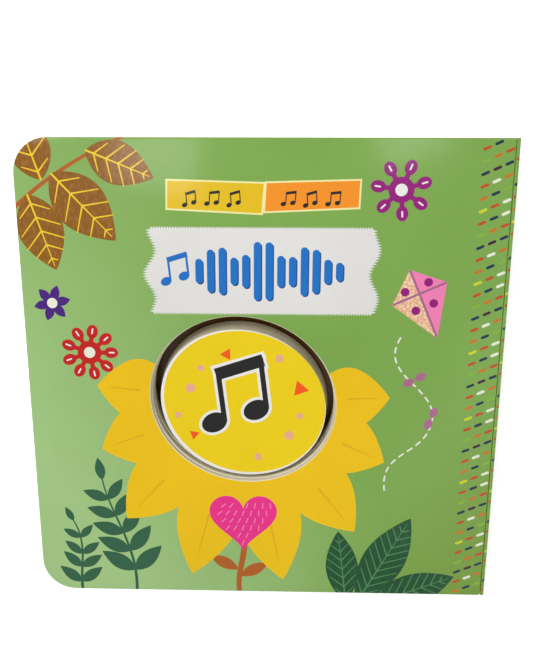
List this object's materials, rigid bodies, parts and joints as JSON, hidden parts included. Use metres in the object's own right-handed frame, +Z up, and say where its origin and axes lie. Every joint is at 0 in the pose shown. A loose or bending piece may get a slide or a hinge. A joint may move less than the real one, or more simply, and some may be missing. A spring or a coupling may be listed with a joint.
{
  "type": "sound book",
  "caption": "Square board book with a press button that stands in a hole through its pages, over a sound module in the back board.",
  "frame": {"origin": "under the middle of the closed book, on the surface that it lies on", "axes": "+Z up through the closed book, +Y to its top edge, +X to its spine"},
  "size_m": [0.18, 0.18, 0.0224],
  "materials": {
    "printed_cover": "glossy film over printed board",
    "printed_page": "glossy film over printed board",
    "page_board": "cut board edges between printed, varnished faces",
    "greyboard": "uncoated board",
    "button_print": "satin film over printed board",
    "button_foam": "dense cream foam, matt",
    "white_plastic": "moulded, satin",
    "housing_plastic": "moulded, fine texture",
    "black_plastic": "moulded",
    "circuit_laminate": "solder mask",
    "ceramic_body": "plain",
    "spring_steel": "plated",
    "magnet_iron": "dull black",
    "cone_film": "thin film",
    "coil_copper": "enamelled wire",
    "wire_red": "insulation",
    "wire_black": "insulation"
  },
  "bodies": {
    "back": {"back_cover": "printed_cover", "module_frame": "greyboard", "inner_back_page": "printed_page", "return_spring": "spring_steel", "housing_base": "housing_plastic", "housing_lid": "housing_plastic", "circuit_board": "circuit_laminate", "push_switch": "black_plastic", "sound_chip": "black_plastic", "capacitor": "ceramic_body", "speaker_basket": "spring_steel", "speaker_magnet": "magnet_iron", "speaker_cone": "cone_film", "speaker_voice_coil": "coil_copper", "battery_door": "housing_plastic", "battery_door_screw": "spring_steel", "positive_contact": "spring_steel", "negative_contact": "spring_steel", "link_contact_1": "spring_steel", "link_contact_2": "spring_steel", "speaker_wire_red": "wire_red", "battery_wire_red": "wire_red", "speaker_wire_black": "wire_black", "battery_wire_black": "wire_black", "housing_screw_1": "spring_steel", "housing_screw_2": "spring_steel", "housing_screw_3": "spring_steel", "housing_screw_4": "spring_steel", "button_cell_1": "spring_steel", "button_cell_2": "spring_steel", "button_cell_3": "spring_steel"},
    "pages": {"page_block": "page_board", "spine_strip": "printed_cover"},
    "front": {"front_cover": "printed_cover"},
    "button": {"button_card": "button_print", "button_pad": "button_foam", "button_plunger": "white_plastic"}
  },
  "joints": [
    {"name": "pages_hinge", "type": "hinge", "parent": "back", "child": "pages", "pos_m": [0.0902, 0, 0.0112], "axis": [0, 1, 0], "range_deg": [0, 180], "deforming": ["spine_strip"]},
    {"name": "front_cover_hinge", "type": "hinge", "parent": "pages", "child": "front", "pos_m": [0.0884, 0, 0.0225], "axis": [0, 1, 0], "range_deg": [0, 180]},
    {"name": "button_press", "type": "slide", "parent": "back", "child": "button", "axis": [0, 0, 1], "range_m": [-0.0016, 0], "stiffness_N_per_m": 900, "springref_m": 0.001, "deforming": ["return_spring"]}
  ]
}
